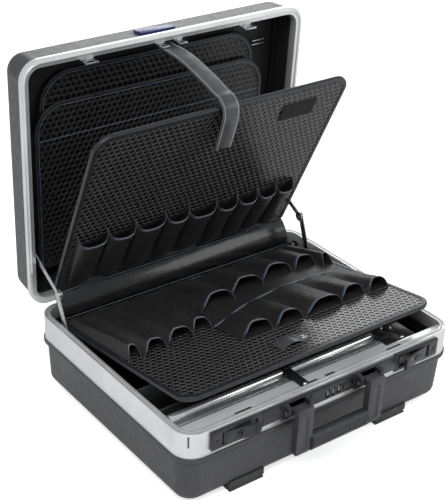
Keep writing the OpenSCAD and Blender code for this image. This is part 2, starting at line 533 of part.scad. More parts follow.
// fabric pocket from s0 (shut end) to s1 (mouth), bulging to h at the mouth
module pocket(x0, x1, s0, s1, h, t = 1.6) translate([(x0 + x1) / 2, 0, 0]) {
  w = x1 - x0 - 0.6;
  difference() {
    hull() { arch_slab(w, 3, s0); arch_slab(w, h, s1); }
    hull() { arch_slab(w - 2 * t, 1, s0 + 6); arch_slab(w - 2 * t, h - t, s1 + 1); }
  }
}
upper_x = [for (x = [-201, -151, -104, -52, -10, 42, 82, 121, 157, 192]) x * upper_w / 430];
module upper_pockets() color("#242426") place() upper_at()
  for (i = [0 : 8]) pocket(upper_x[i], upper_x[i + 1], 14, 112, pocket_h - 1);
module hook_patch() color("#121212") place() upper_at() box([100, upper_l - 58, board_t / 2], [162, upper_l - 29, board_t / 2 + 1.6]);
rear_x = [for (p = [[-212, -190, 180], [-190, -150, 186], [-150, -102, 181], [-102, -66, 174], [-46, 18, 118], [18, 84, 103],
  [84, 147, 95], [147, 193, 98], [193, 213, 115]]) [p[0] * lower_w / 443, p[1] * lower_w / 443, p[2]]];
module lower_rear_pockets() color("#242426") place() lower_at() for (p = rear_x) pocket(p[0], p[1], 12, p[2] - 12, pocket_h + 1);
front_x = [for (p = [[-60, -5, 235], [-5, 48, 239], [48, 122, 240], [122, 170, 234], [170, 212, 240]])
  [p[0] * lower_w / 443, p[1] * lower_w / 443, p[2]]];
module lower_front_pockets() color("#242426") place() lower_at() for (p = front_x)
  pocket(p[0], p[1], 132 + 22 * (p[0] < 0 ? 1 : 0), p[2] - 10, pocket_h + 1);
module board_tab() color("#262628") place() lower_at() translate([0, 0, board_t / 2]) {
  translate([-41, lower_l - 54, 0]) linear_extrude(2) { square([43, 25]); translate([43, 12.5]) circle(12.5); }
  translate([4.5, lower_l - 37, 2]) { cylinder(r = 6, h = 0.8); cylinder(r = 4.4, h = 2); }
}

base_shell();
base_frame();
lock_ledge();
base_liner();
front_rail();
tray_dividers();
rail_end_bracket();
rail_clip();
tray_rivets();
feet();
lock_plate();
latch_plate_left();
latch_plate_right();
handle_brackets();
handle_pins();
base_hinge_leaves();
hinge_pins();
stay_base_pins();
dial_shaft();
lid_shell();
lid_frame();
lid_strikers();
lid_panel();
document_pocket_rear();
document_pocket_front();
wire_clip();
badge_plate();
strap();
strap_anchor();
lid_hinge_leaves();
stay_lid_pins();
handle_arms();
handle_grip();
latch_lever_left();
latch_lever_right();
key_cylinder_left();
key_cylinder_right();
dial_a();
dial_b();
dial_c();
release_button();
stay_lower_left();
stay_lower_right();
stay_upper_left();
stay_upper_right();
wallet_rod();
spine();
spine_rod();
upper_board();
upper_binding();
upper_pockets();
hook_patch();
lower_board();
lower_binding();
lower_rear_pockets();
lower_front_pockets();
board_tab();
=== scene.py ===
"""Hard tool case standing open: shells, aluminium frames, folding stays, locks and a two-board wallet."""
import math

import bpy
import bmesh
from mathutils import Matrix, Vector


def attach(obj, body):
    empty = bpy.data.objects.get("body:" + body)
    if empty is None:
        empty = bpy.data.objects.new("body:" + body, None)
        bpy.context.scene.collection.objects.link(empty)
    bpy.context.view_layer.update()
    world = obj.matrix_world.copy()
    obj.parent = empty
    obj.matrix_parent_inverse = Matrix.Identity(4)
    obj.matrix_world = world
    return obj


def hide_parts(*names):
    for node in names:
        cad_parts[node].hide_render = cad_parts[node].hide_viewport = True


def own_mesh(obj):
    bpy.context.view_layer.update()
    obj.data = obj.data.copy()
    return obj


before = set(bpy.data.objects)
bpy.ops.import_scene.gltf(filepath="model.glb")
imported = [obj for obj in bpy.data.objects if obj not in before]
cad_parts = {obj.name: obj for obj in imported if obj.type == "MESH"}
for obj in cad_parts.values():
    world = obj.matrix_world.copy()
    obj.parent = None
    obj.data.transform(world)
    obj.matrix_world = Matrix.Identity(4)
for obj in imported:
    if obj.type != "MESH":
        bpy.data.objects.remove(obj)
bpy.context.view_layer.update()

# The case's own measures in millimetres, as in its drawing: X along the front, Y to the back, Z up.
ORIGIN_Y = 20.571
HALF_D, RIM_Z = 189.0, 124.0
HINGE_Y, HINGE_Z, LID_ANGLE = 194.0, 111.6, math.radians(88)
WALLET_Y, WALLET_Z = 161.0, 105.0
SPINE_LENGTH, SPINE_LEAN = 50.6, math.radians(24.5)
UPPER_W, UPPER_L, UPPER_LEAN = 430.0, 314.0, math.radians(24.7)
LOWER_W, LOWER_L, LOWER_RISE = 443.0, 326.0, math.radians(9)
BOARD_FACE = 2.0
SPINE_TOP_Y = WALLET_Y + SPINE_LENGTH * math.sin(SPINE_LEAN)
SPINE_TOP_Z = WALLET_Z + SPINE_LENGTH * math.cos(SPINE_LEAN)
scene = bpy.context.scene


def case_point(x, y, z):
    """A point of the drawing in the frame's metres."""
    return Vector((x, y - ORIGIN_Y, z)) / 1000


def lid_point(x, y, z):
    """A point given with the lid shut, where it lies with the lid open."""
    dy, dz = y - HINGE_Y, z - HINGE_Z
    c, s = math.cos(LID_ANGLE), math.sin(LID_ANGLE)
    return case_point(x, HINGE_Y + dy * c + dz * s, HINGE_Z - dy * s + dz * c)


def upper_point(x, along, off):
    """A point on the upper board: along it from its hinge line, off its middle towards the pockets."""
    c, s = math.cos(UPPER_LEAN), math.sin(UPPER_LEAN)
    return case_point(x, SPINE_TOP_Y - s * along - c * off, SPINE_TOP_Z + c * along - s * off)


def lower_point(x, along, off):
    c, s = math.cos(LOWER_RISE), math.sin(LOWER_RISE)
    return case_point(x, WALLET_Y - c * along + s * off, WALLET_Z + s * along + c * off)


def spine_point(x, along, off):
    c, s = math.cos(SPINE_LEAN), math.sin(SPINE_LEAN)
    return case_point(x, WALLET_Y + s * along - c * off, WALLET_Z + c * along + s * off)


# Materials

# The part of a noise's range that its values mostly fill
NOISE_LOW, NOISE_HIGH = 0.3, 0.7
# Noise drawn out along X, for draw lines, or left even
ALONG_X, EVEN = (0.02, 1, 1), (1, 1, 1)


def new_material(name):
    mat = bpy.data.materials.new(name)
    mat.use_nodes = True
    tree = mat.node_tree
    return mat, tree, tree.nodes["Principled BSDF"]


def add(tree, kind, **values):
    node = tree.nodes.new(kind)
    for key, value in values.items():
        setattr(node, key, value)
    return node


def mapped_noise(tree, scale, stretch=EVEN, detail=3.0):
    coords = add(tree, "ShaderNodeTexCoord")
    mapping = add(tree, "ShaderNodeMapping")
    mapping.inputs["Scale"].default_value = stretch
    noise = add(tree, "ShaderNodeTexNoise")
    noise.inputs["Scale"].default_value = scale
    noise.inputs["Detail"].default_value = detail
    tree.links.new(coords.outputs["Object"], mapping.inputs["Vector"])
    tree.links.new(mapping.outputs["Vector"], noise.inputs["Vector"])
    return noise.outputs["Fac"]


def ramp(tree, value, low, high):
    node = add(tree, "ShaderNodeValToRGB")
    start, end = node.color_ramp.elements
    start.position, end.position = NOISE_LOW, NOISE_HIGH
    start.color = (*low, 1)
    end.color = (*high, 1)
    tree.links.new(value, node.inputs["Fac"])
    return node.outputs["Color"]


def spread(tree, value, low, high):
    node = add(tree, "ShaderNodeMapRange")
    node.inputs["From Min"].default_value = NOISE_LOW
    node.inputs["From Max"].default_value = NOISE_HIGH
    node.inputs["To Min"].default_value = low
    node.inputs["To Max"].default_value = high
    tree.links.new(value, node.inputs["Value"])
    return node.outputs["Result"]


def bump(tree, shader, height, distance, strength=1.0):
    node = add(tree, "ShaderNodeBump")
    node.inputs["Distance"].default_value = distance
    node.inputs["Strength"].default_value = strength
    tree.links.new(height, node.inputs["Height"])
    tree.links.new(node.outputs["Normal"], shader.inputs["Normal"])
    return node


def tint(colour, factor):
    return tuple(min(1.0, c * factor) for c in colour)


def colour_from(tree, shader, value, colour, low, high):
    """Base colour between two shades of one colour, chosen by a noise."""
    tree.links.new(ramp(tree, value, tint(colour, low), tint(colour, high)), shader.inputs["Base Color"])


def gloss_from(tree, shader, value, rough):
    """Roughness between two values, chosen by a noise."""
    tree.links.new(spread(tree, value, *rough), shader.inputs["Roughness"])


def moulded_plastic(name, colour, rough=(0.42, 0.56), grain=2600, depth=0.00006, mottle=0.12):
    """Moulded plastic: an eroded grain, a little uneven gloss and a faint mottle."""
    mat, tree, shader = new_material(name)
    colour_from(tree, shader, mapped_noise(tree, 26, detail=4), colour, 1 - mottle, 1 + mottle)
    gloss_from(tree, shader, mapped_noise(tree, 90), rough)
    bump(tree, shader, mapped_noise(tree, grain, detail=2), depth)
    return mat


def drawn_metal(name, colour, stretch, rough=(0.2, 0.36), depth=0.00001, metallic=1.0):
    """Metal with fine streaks, stretched into draw lines or even, and slight smears."""
    mat, tree, shader = new_material(name)
    shader.inputs["Metallic"].default_value = metallic
    streaks = mapped_noise(tree, 420, stretch, detail=2)
    colour_from(tree, shader, mapped_noise(tree, 18, detail=4), colour, 0.9, 1.06)
    gloss_from(tree, shader, streaks, rough)
    if depth:
        bump(tree, shader, streaks, depth, strength=0.6)
    return mat


def coated_cloth(name, colour, rough=(0.34, 0.5), grain=1500, depth=0.00012):
    """Coated cloth or leatherette: pebbled grain from two sizes of noise, with soft creases."""
    mat, tree, shader = new_material(name)
    colour_from(tree, shader, mapped_noise(tree, 34, detail=5), colour, 0.8, 1.2)
    gloss_from(tree, shader, mapped_noise(tree, 130), rough)
    fine = bump(tree, shader, mapped_noise(tree, grain, detail=3), depth)
    crease = add(tree, "ShaderNodeBump")
    crease.inputs["Distance"].default_value = 0.0006
    tree.links.new(mapped_noise(tree, 60, detail=2), crease.inputs["Height"])
    tree.links.new(crease.outputs["Normal"], fine.inputs["Normal"])
    return mat


def pressed_sheet(name, web, dent_shade, rough):
    """Sheet pressed into cells: the web between them has its own colour with a random mottle; the dents are
    painted darker by the depth attribute, a painted shade.
    """
    mat, tree, shader = new_material(name)
    # The depth attribute says how far into the dents a point lies, and picks the painted shade there
    depth = add(tree, "ShaderNodeAttribute", attribute_name="depth").outputs["Fac"]
    worn = ramp(tree, mapped_noise(tree, 34, detail=5), tint(web, 0.8), tint(web, 1.2))
    mix = add(tree, "ShaderNodeMix", data_type="RGBA")
    share, web_side, painted_shade_side = mix.inputs[0], mix.inputs[6], mix.inputs[7]
    tree.links.new(depth, share)
    tree.links.new(worn, web_side)
    painted_shade_side.default_value = (*dent_shade, 1)
    tree.links.new(mix.outputs[2], shader.inputs["Base Color"])
    gloss_from(tree, shader, mapped_noise(tree, 130), rough)
    bump(tree, shader, mapped_noise(tree, 1900, detail=3), 0.00005)
    return mat


def thread_material(name, colour):
    """Twisted sewing thread."""
    mat, tree, shader = new_material(name)
    twist = mapped_noise(tree, 2400, detail=1)
    colour_from(tree, shader, twist, colour, 0.7, 1.2)
    gloss_from(tree, shader, twist, (0.5, 0.8))
    return mat


SHELL = moulded_plastic("shell_abs", (0.048, 0.048, 0.05), rough=(0.36, 0.48))
FRAME = drawn_metal("frame_extrusion", (0.8, 0.8, 0.795), ALONG_X, rough=(0.3, 0.4), depth=0, metallic=0.7)
LEDGE = drawn_metal("ledge_sheet", (0.88, 0.89, 0.9), ALONG_X, rough=(0.18, 0.27), depth=0, metallic=0.48)
DIVIDER = drawn_metal("divider_sheet", (0.6, 0.61, 0.625), ALONG_X, rough=(0.3, 0.45))
STEEL = drawn_metal("stay_steel", (0.6, 0.61, 0.62), EVEN, rough=(0.2, 0.34))
ZINC = drawn_metal("hinge_zinc", (0.5, 0.51, 0.52), EVEN, rough=(0.32, 0.48))
LINER = moulded_plastic("liner_sheet", (0.006, 0.0062, 0.007), rough=(0.4, 0.6), grain=1400, depth=0.0001)
BLACK = moulded_plastic("black_moulding", (0.012, 0.012, 0.013), rough=(0.3, 0.42))
RUBBER = moulded_plastic("foot_moulding", (0.04, 0.04, 0.041), rough=(0.5, 0.7))
LOCK = moulded_plastic("lock_enamel", (0.021, 0.021, 0.0225), rough=(0.24, 0.34), grain=900, depth=0.00003)
HANDLE = moulded_plastic("handle_moulding", (0.04, 0.04, 0.042), rough=(0.26, 0.36))
GRIP = moulded_plastic("grip_moulding", (0.022, 0.022, 0.0235), rough=(0.4, 0.55), grain=1100, depth=0.0001)
DIAL = moulded_plastic("dial_moulding", (0.02, 0.02, 0.021), rough=(0.25, 0.35), mottle=0.05)
DIGIT = moulded_plastic("dial_print", (0.75, 0.75, 0.73), rough=(0.4, 0.5), mottle=0.03)
BADGE = moulded_plastic("badge_plate_blue", (0.018, 0.035, 0.16), rough=(0.22, 0.32), mottle=0.06)
# Painted shade: the colour of the cells' dents, darker than the web, stands in for the shade inside them
DENT_PAINTED_SHADE = (0.002, 0.002, 0.002)
PALLET = pressed_sheet("pallet_sheet", (0.042, 0.04, 0.0395), DENT_PAINTED_SHADE, rough=(0.13, 0.24))
LID_PALLET = pressed_sheet("lid_pallet_sheet", (0.024, 0.0235, 0.0235), DENT_PAINTED_SHADE, rough=(0.24, 0.36))
POCKET = coated_cloth("pocket_cloth", (0.0165, 0.016, 0.0165), rough=(0.42, 0.58))
BINDING = coated_cloth("binding_tape", (0.016, 0.0165, 0.018), rough=(0.26, 0.4))
STRAP = coated_cloth("strap_leatherette", (0.06, 0.06, 0.062), rough=(0.24, 0.36))
HOOK = coated_cloth("hook_fabric", (0.006, 0.006, 0.006), rough=(0.8, 0.95), grain=3200, depth=0.0004)
SPINE = coated_cloth("spine_leatherette", (0.006, 0.006, 0.0065), rough=(0.2, 0.27), depth=0.00003)
for socket, value in (("Specular IOR Level", 0.35), ("Coat Weight", 0.4), ("Coat Roughness", 0.13)):
    SPINE.node_tree.nodes["Principled BSDF"].inputs[socket].default_value = value
RAIL = drawn_metal("rail_tube", (0.86, 0.87, 0.885), ALONG_X, rough=(0.14, 0.2), depth=0, metallic=0.85)
THREAD = thread_material("blue_grey_thread", (0.26, 0.31, 0.4))
DARK_THREAD = thread_material("dark_thread", (0.03, 0.032, 0.038))
GREY_THREAD = thread_material("grey_thread", (0.5, 0.5, 0.5))


# Meshes

def link_new(name, data):
    """A new object with this data, in the scene."""
    piece = bpy.data.objects.new(name, data)
    scene.collection.objects.link(piece)
    return piece


def mesh_object(name, verts, faces, material):
    mesh = bpy.data.meshes.new(name)
    mesh.from_pydata([tuple(v) for v in verts], [], faces)
    mesh.materials.append(material)
    return link_new(name, mesh)


def make_plain(piece):
    """Turns a piece and its modifiers into a plain mesh."""
    graph = bpy.context.evaluated_depsgraph_get()
    final = piece.evaluated_get(graph)
    mesh = bpy.data.meshes.new_from_object(final, preserve_all_data_layers=True, depsgraph=graph)
    piece.modifiers.clear()
    if piece.type == "MESH":
        piece.data = mesh
        return piece
    name = piece.name
    piece.name = name + "_source"
    result = link_new(name, mesh)
    bpy.data.objects.remove(piece)
    return result


def shade(piece, angle=35):
    """Smooth faces, with the edges sharper than the angle left crisp."""
    bm = bmesh.new()
    bm.from_mesh(piece.data)
    for face in bm.faces:
        face.smooth = True
    for edge in bm.edges:
        edge.smooth = len(edge.link_faces) != 2 or edge.calc_face_angle(0) < math.radians(angle)
    bm.to_mesh(piece.data)
    bm.free()


def join(name, pieces):
    """One piece from several, with their materials kept."""
    bm = bmesh.new()
    materials = []
    for piece in pieces:
        slots = []
        for material in piece.data.materials:
            if material not in materials:
                materials.append(material)
            slots.append(materials.index(material))
        first = len(bm.faces)
        bm.from_mesh(piece.data)
        bm.faces.ensure_lookup_table()
        for face in bm.faces[first:]:
            face.material_index = slots[face.material_index] if slots else 0
    mesh = bpy.data.meshes.new(name)
    bm.to_mesh(mesh)
    bm.free()
    for material in materials:
        mesh.materials.append(material)
    for piece in pieces:
        bpy.data.objects.remove(piece)
    return link_new(name, mesh)


def solidify(piece, thickness):
    """Gives a sheet its thickness in millimetres, half to each side."""
    modifier = piece.modifiers.new("wall", "SOLIDIFY")
    modifier.thickness = thickness / 1000
    modifier.offset = 0
    return make_plain(piece)


def settle(piece, body, slot, *nodes):
    """Hands a finished piece over: its body and the drawing's nodes that it replaces; the material slot is
    not used.
    """
    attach(piece, body)
    if nodes:
        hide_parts(*nodes)


def dress(node, body, slot, material, edge=0.4, segments=2):
    """The drawing's own solid with its edges rounded by edge millimetres, in its material."""
    same_point, same_plane, sharp = 2e-6, math.radians(0.5), math.radians(28)
    piece = link_new(node + "_finished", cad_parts[node].data.copy())
    piece.data.materials.clear()
    piece.data.materials.append(material)
    bm = bmesh.new()
    bm.from_mesh(piece.data)
    for face in bm.faces:
        face.material_index = 0
    bmesh.ops.remove_doubles(bm, verts=bm.verts, dist=same_point)
    bmesh.ops.dissolve_limit(bm, angle_limit=same_plane, verts=bm.verts, edges=bm.edges)
    bm.to_mesh(piece.data)
    bm.free()
    if edge:
        modifier = piece.modifiers.new("edge", "BEVEL")
        modifier.width = edge / 1000
        modifier.segments = segments
        modifier.limit_method = "ANGLE"
        modifier.angle_limit = sharp
        modifier.use_clamp_overlap = True
        piece = make_plain(piece)
    shade(piece)
    settle(piece, body, slot, node)


# Repeats by geometry nodes

def group_socket(tree, name, kind, default=None):
    socket = tree.interface.new_socket(name, in_out="INPUT", socket_type=kind)
    if default is not None:
        socket.default_value = default


def stitch_tree():
    """Stitches of a given length and thickness at a given pitch along a path of edges."""
    tree = bpy.data.node_groups.new("stitches_along_path", "GeometryNodeTree")
    tree.is_modifier = True
    group_socket(tree, "Path", "NodeSocketGeometry")
    group_socket(tree, "Pitch", "NodeSocketFloat", 0.003)
    group_socket(tree, "Stitch Length", "NodeSocketFloat", 0.002)
    group_socket(tree, "Thread Radius", "NodeSocketFloat", 0.00035)
    group_socket(tree, "Thread", "NodeSocketMaterial")
    tree.interface.new_socket("Geometry", in_out="OUTPUT", socket_type="NodeSocketGeometry")
    source = add(tree, "NodeGroupInput")
    out = add(tree, "NodeGroupOutput")
    curve = add(tree, "GeometryNodeMeshToCurve")
    resample = add(tree, "GeometryNodeResampleCurve", mode="LENGTH")
    align = add(tree, "FunctionNodeAlignRotationToVector", axis="Z")
    thread = add(tree, "GeometryNodeMeshCylinder")
    thread.inputs["Vertices"].default_value = 6
    points = add(tree, "GeometryNodeCurveToPoints", mode="EVALUATED")
    place = add(tree, "GeometryNodeInstanceOnPoints")
    realise = add(tree, "GeometryNodeRealizeInstances")
    finish = add(tree, "GeometryNodeSetMaterial")
    link = tree.links.new
    link(source.outputs["Path"], curve.inputs["Mesh"])
    link(curve.outputs["Curve"], resample.inputs["Curve"])
    link(source.outputs["Pitch"], resample.inputs["Length"])
    link(resample.outputs["Curve"], points.inputs["Curve"])
    link(points.outputs["Points"], place.inputs["Points"])
    link(points.outputs["Tangent"], align.inputs["Vector"])
    link(align.outputs["Rotation"], place.inputs["Rotation"])
    link(source.outputs["Thread Radius"], thread.inputs["Radius"])
    link(source.outputs["Stitch Length"], thread.inputs["Depth"])
    link(thread.outputs["Mesh"], place.inputs["Instance"])
    link(place.outputs["Instances"], realise.inputs["Geometry"])
    link(realise.outputs["Geometry"], finish.inputs["Geometry"])
    link(source.outputs["Thread"], finish.inputs["Material"])
    link(finish.outputs["Geometry"], out.inputs["Geometry"])
    return tree


def scatter_tree():
    """Copies of one small form on the points of a mesh, turned by the points' "turn" attribute."""
    tree = bpy.data.node_groups.new("copies_on_points", "GeometryNodeTree")
    tree.is_modifier = True
    group_socket(tree, "Points", "NodeSocketGeometry")
    group_socket(tree, "Form", "NodeSocketObject")
    group_socket(tree, "Finish", "NodeSocketMaterial")
    tree.interface.new_socket("Geometry", in_out="OUTPUT", socket_type="NodeSocketGeometry")
    source = add(tree, "NodeGroupInput")
    out = add(tree, "NodeGroupOutput")
    info = add(tree, "GeometryNodeObjectInfo")
    turn = add(tree, "GeometryNodeInputNamedAttribute", data_type="FLOAT_VECTOR")
    turn.inputs["Name"].default_value = "turn"
    place = add(tree, "GeometryNodeInstanceOnPoints")
    realise = add(tree, "GeometryNodeRealizeInstances")
    finish = add(tree, "GeometryNodeSetMaterial")
    link = tree.links.new
    link(source.outputs["Points"], place.inputs["Points"])
    link(source.outputs["Form"], info.inputs["Object"])
    link(info.outputs["Geometry"], place.inputs["Instance"])
    link(turn.outputs["Attribute"], place.inputs["Rotation"])
    link(place.outputs["Instances"], realise.inputs["Geometry"])
    link(realise.outputs["Geometry"], finish.inputs["Geometry"])
    link(source.outputs["Finish"], finish.inputs["Material"])
    link(finish.outputs["Geometry"], out.inputs["Geometry"])
    return tree


STITCHES = stitch_tree()
COPIES = scatter_tree()


def run_tree(piece, tree, **values):
    modifier = piece.modifiers.new(tree.name, "NODES")
    modifier.node_group = tree
    for item in tree.interface.items_tree:
        if item.item_type == "SOCKET" and item.in_out == "INPUT" and item.name in values:
            modifier[item.identifier] = values[item.name]
    return make_plain(piece)


def stitch_paths(name, paths, thread=None, pitch=3.0, length=2.0, radius=0.32):
    """Stitches along each path of points; measures in millimetres."""
    verts, edges = [], []
    for path in paths:
        first = len(verts)
        verts += path
        edges += [(first + i, first + i + 1) for i in range(len(path) - 1)]
    mesh = bpy.data.meshes.new(name)
    mesh.from_pydata([tuple(v) for v in verts], edges, [])
    sizes = {"Pitch": pitch / 1000, "Stitch Length": length / 1000, "Thread Radius": radius / 1000}
    return run_tree(link_new(name, mesh), STITCHES, Thread=thread or THREAD, **sizes)


def copies(name, form, points, material, turn):
    """Copies of one form at the points, all turned alike."""
    mesh = bpy.data.meshes.new(name)
    mesh.from_pydata([tuple(p) for p in points], [], [])
    attribute = mesh.attributes.new("turn", "FLOAT_VECTOR", "POINT")
    attribute.data.foreach_set("vector", list(turn) * len(points))
    return run_tree(link_new(name, mesh), COPIES, Form=form, Finish=material)


def tube(name, path, radius, material, sides=10, closed=False):
    """Round tube along a path of points in metres; radius in millimetres."""
    curve = bpy.data.curves.new(name, "CURVE")
    curve.dimensions = "3D"
    curve.bevel_depth = radius / 1000
    curve.bevel_resolution = max(0, sides // 4)
    curve.use_fill_caps = True
    spline = curve.splines.new("POLY")
    spline.points.add(len(path) - 1)
    for point, place in zip(spline.points, path):
        point.co = (*place, 1)
    spline.use_cyclic_u = closed
    piece = make_plain(link_new(name, curve))
    piece.data.materials.clear()
    piece.data.materials.append(material)
    shade(piece, 60)
    return piece


# Camera, floor and light

LIGHT_AIM = Vector((0, 0, 0.2))


def make_camera():
    """The camera that was fitted to the frames' corners, as turns in radians and a focal length in pixels."""
    yaw, pitch, roll, focal = 0.63973, 0.58374, 0.02691, 1177.863
    centre_x, centre_y, width, height = 198.22, 348.05, 445, 500
    place = case_point(-926.17, -1132.60, 1034.36)
    sensor = 24
    level = Vector((math.cos(yaw), -math.sin(yaw), 0))
    ahead = Vector((math.sin(yaw), math.cos(yaw), 0))
    forward = ahead * math.cos(pitch) + Vector((0, 0, -math.sin(pitch)))
    above = level.cross(forward)
    right = level * math.cos(roll) + above * math.sin(roll)
    up = above * math.cos(roll) - level * math.sin(roll)
    camera = bpy.data.cameras.new("camera")
    camera.sensor_fit = "VERTICAL"
    camera.sensor_height = sensor
    camera.lens = focal / height * sensor
    camera.shift_x = (width / 2 - centre_x) / height
    camera.shift_y = (centre_y - height / 2) / height
    camera.clip_start = 0.05
    matrix = Matrix((right, up, -forward)).transposed().to_4x4()
    matrix.translation = place
    holder = link_new("camera", camera)
    holder.matrix_world = matrix
    scene.camera = holder


def area_light(name, place, size, power):
    """A rectangular light aimed at the middle of the open case."""
    light = bpy.data.lights.new(name, "AREA")
    light.shape = "RECTANGLE"
    light.size, light.size_y = size
    light.energy = power
    holder = link_new(name, light)
    holder.location = place
    holder.rotation_euler = (LIGHT_AIM - Vector(place)).to_track_quat("-Z", "Y").to_euler()


def make_world():
    """A cool, dim surround that the camera sees as white."""
    world = bpy.data.worlds.new("studio")
    scene.world = world
    world.use_nodes = True
    tree = world.node_tree
    surround = tree.nodes["Background"]
    surround.inputs["Color"].default_value = (0.9, 0.92, 0.95, 1)
    surround.inputs["Strength"].default_value = 0.55
    white = add(tree, "ShaderNodeBackground")
    white.inputs["Color"].default_value = (1, 1, 1, 1)
    rays = add(tree, "ShaderNodeLightPath")
    either = add(tree, "ShaderNodeMath", operation="MAXIMUM")
    mix = add(tree, "ShaderNodeMixShader")
    tree.links.new(rays.outputs["Is Camera Ray"], either.inputs[0])
    tree.links.new(rays.outputs["Is Transmission Ray"], either.inputs[1])
    tree.links.new(either.outputs["Value"], mix.inputs["Fac"])
    tree.links.new(surround.outputs["Background"], mix.inputs[1])
    tree.links.new(white.outputs["Background"], mix.inputs[2])
    tree.links.new(mix.outputs["Shader"], tree.nodes["World Output"].inputs["Surface"])


def make_floor(size=6):
    """A pale floor that glows a little for the camera alone, so that it stays near white."""
    mat, tree, shader = new_material("pale_floor")
    pale = ramp(tree, mapped_noise(tree, 3), (0.86, 0.86, 0.86), (0.9, 0.9, 0.9))
    tree.links.new(pale, shader.inputs["Base Color"])
    shader.inputs["Roughness"].default_value = 0.7
    glow = add(tree, "ShaderNodeEmission")
    glow.inputs["Strength"].default_value = 0.62
    both = add(tree, "ShaderNodeAddShader")
    seen = add(tree, "ShaderNodeLightPath")
    pick = add(tree, "ShaderNodeMixShader")
    tree.links.new(shader.outputs["BSDF"], both.inputs[0])
    tree.links.new(glow.outputs["Emission"], both.inputs[1])
    tree.links.new(seen.outputs["Is Camera Ray"], pick.inputs["Fac"])
    tree.links.new(shader.outputs["BSDF"], pick.inputs[1])
    tree.links.new(both.outputs["Shader"], pick.inputs[2])
    tree.links.new(pick.outputs["Shader"], tree.nodes["Material Output"].inputs["Surface"])
    corners = [(-size, -size, 0), (size, -size, 0), (size, size, 0), (-size, size, 0)]
    mesh_object("floor", corners, [(0, 1, 2, 3)], mat)


def make_studio():
    make_camera()
    scene.view_settings.view_transform = "Standard"
    make_world()
    area_light("key", (-1.1, -0.9, 2.0), (1.4, 1.4), 26)
    area_light("fill", (1.6, -1.4, 1.2), (1.6, 1.2), 12)
    area_light("back", (1.5, 2.0, 1.15), (1.8, 1.0), 15)
    make_floor()


make_studio()

# Soft forms, in millimetres: s runs along a board or pocket, off away from its middle

def sheet_faces(rows, columns, first=0):
    """Faces of a grid of points laid row by row, with this many steps each way."""
    n = columns + 1
    corners = [first + j * n + i for j in range(rows) for i in range(columns)]
    return [(a, a + 1, a + n + 1, a + n) for a in corners]


def lofted_faces(rings, count, first=0):
    """Faces through rings of count points each, with both ends closed."""
    faces = []
    for near in range(first, first + (rings - 1) * count, count):
        far = near + count
        for b in range(count):
            c = (b + 1) % count
            faces.append((near + b, near + c, far + c, far + b))
    last = first + (rings - 1) * count
    faces.append(tuple(range(first + count - 1, first - 1, -1)))
    faces.append(tuple(range(last, last + count)))
    return faces


def fix_normals(piece):
    bm = bmesh.new()
    bm.from_mesh(piece.data)
    bmesh.ops.remove_doubles(bm, verts=bm.verts, dist=1e-6)
    bmesh.ops.recalc_face_normals(bm, faces=bm.faces)
    bm.to_mesh(piece.data)
    bm.free()


def soft_form(name, verts, faces, material):
    """A closed form with its faces turned outwards and shaded smooth."""
    piece = mesh_object(name, verts, faces, material)
    fix_normals(piece)
    shade(piece, 50)
    return piece


# Pressed cells of the wallet's boards and the lid's pockets

# How far cells and the tape's stitches keep from a board's edge, and how far cells keep from its far end
SEAM_INSET, CELL_INSET, CELL_END = 6.3, 6.4, 8.5
# How much further in the cells keep at a round corner
CORNER_GAP = 0.8


def cell_form(pitch):
    """One six-sided cell: a flat web round a dished hollow; the web's plane is at 0. Its inner rings carry
    painted shade.
    """
    sides, overlap = 12, 0.01
    # Rings from the outside in: radius as a share of the pitch, height and painted shade (how much darker the
    # sheet is painted there); the first is the hexagon
    rings = ((None, 0, 0), (0.4, 0, 0), (0.36, -0.55, 0.9), (0.26, -0.9, 1))
    verts, painted_shades = [], []
    for share, height, painted_shade in rings:
        for i in range(sides):
            hexagon = (pitch / math.sqrt(3) if i % 2 == 0 else pitch / 2) + overlap
            reach = share * pitch if share else hexagon
            angle = 2 * math.pi * i / sides
            verts.append((reach * math.sin(angle) / 1000, reach * math.cos(angle) / 1000, height / 1000))
            painted_shades.append(painted_shade)
    faces = []
    for outer in range(0, sides * (len(rings) - 1), sides):
        inner = outer + sides
        for i in range(sides):
            k = (i + 1) % sides
            faces.append((outer + k, outer + i, inner + i, inner + k))
    faces.append(tuple(range(len(verts) - 1, len(verts) - 1 - sides, -1)))
    form = mesh_object("cell_form", verts, faces, PALLET)
    # The depth attribute carries the painted shade that the pressed sheet's material reads
    form.data.attributes.new("depth", "FLOAT", "POINT").data.foreach_set("value", painted_shades)
    return form


def cell_sheet(name, place, inside, half, span, pitch, off, facing, material=PALLET):
    """Cells in staggered rows where inside(x, s) holds, laid from the far end; place maps (x, s, off)
    to the case."""
    form = cell_form(pitch)
    row = pitch * math.sqrt(3) / 2
    points = []
    for j in range(int((span[1] - span[0]) / row) + 1):
        s = span[1] - j * row
        for i in range(int(2 * half / pitch + 0.01) + 1):
            x = -half + (i + 0.5 * (j % 2)) * pitch
            if x < half + 0.1 and inside(x, s):
                points.append(place(x, s, off))
    sheet = copies(name, form, points, material, facing)
    bpy.data.objects.remove(form)
    return sheet


def rounded_inside(half, first, last, radius, inset):
    """Test for a point inside a board: full width 2 half, from first to last, its far corners rounded."""
    def test(x, s):
        if abs(x) > half - inset or s < first + inset or s > last - inset:
            return False
        cx, cs = abs(x) - (half - radius), s - (last - radius)
        return not (cx > 0 and cs > 0 and math.hypot(cx, cs) > radius - inset - CORNER_GAP)
    return test


def board_outline(half, first, last, radius, straight=7, steps=10):
    """Points (x, s, outward x, outward s) up the left side, round the far corners and down the right side."""
    heights = [first + (last - radius - first) * k / straight for k in range(straight)]
    points = [(-half, s, -1, 0) for s in heights]
    for side in (-1, 1):
        for k in range(steps + 1):
            angle = math.pi / 2 * k / steps
            ox, os = math.sin(angle), math.cos(angle)
            if side < 0:
                ox, os = -os, ox
            points.append((side * (half - radius) + radius * ox, last - radius + radius * os, ox, os))
    return points + [(half, s, 1, 0) for s in reversed(heights)]


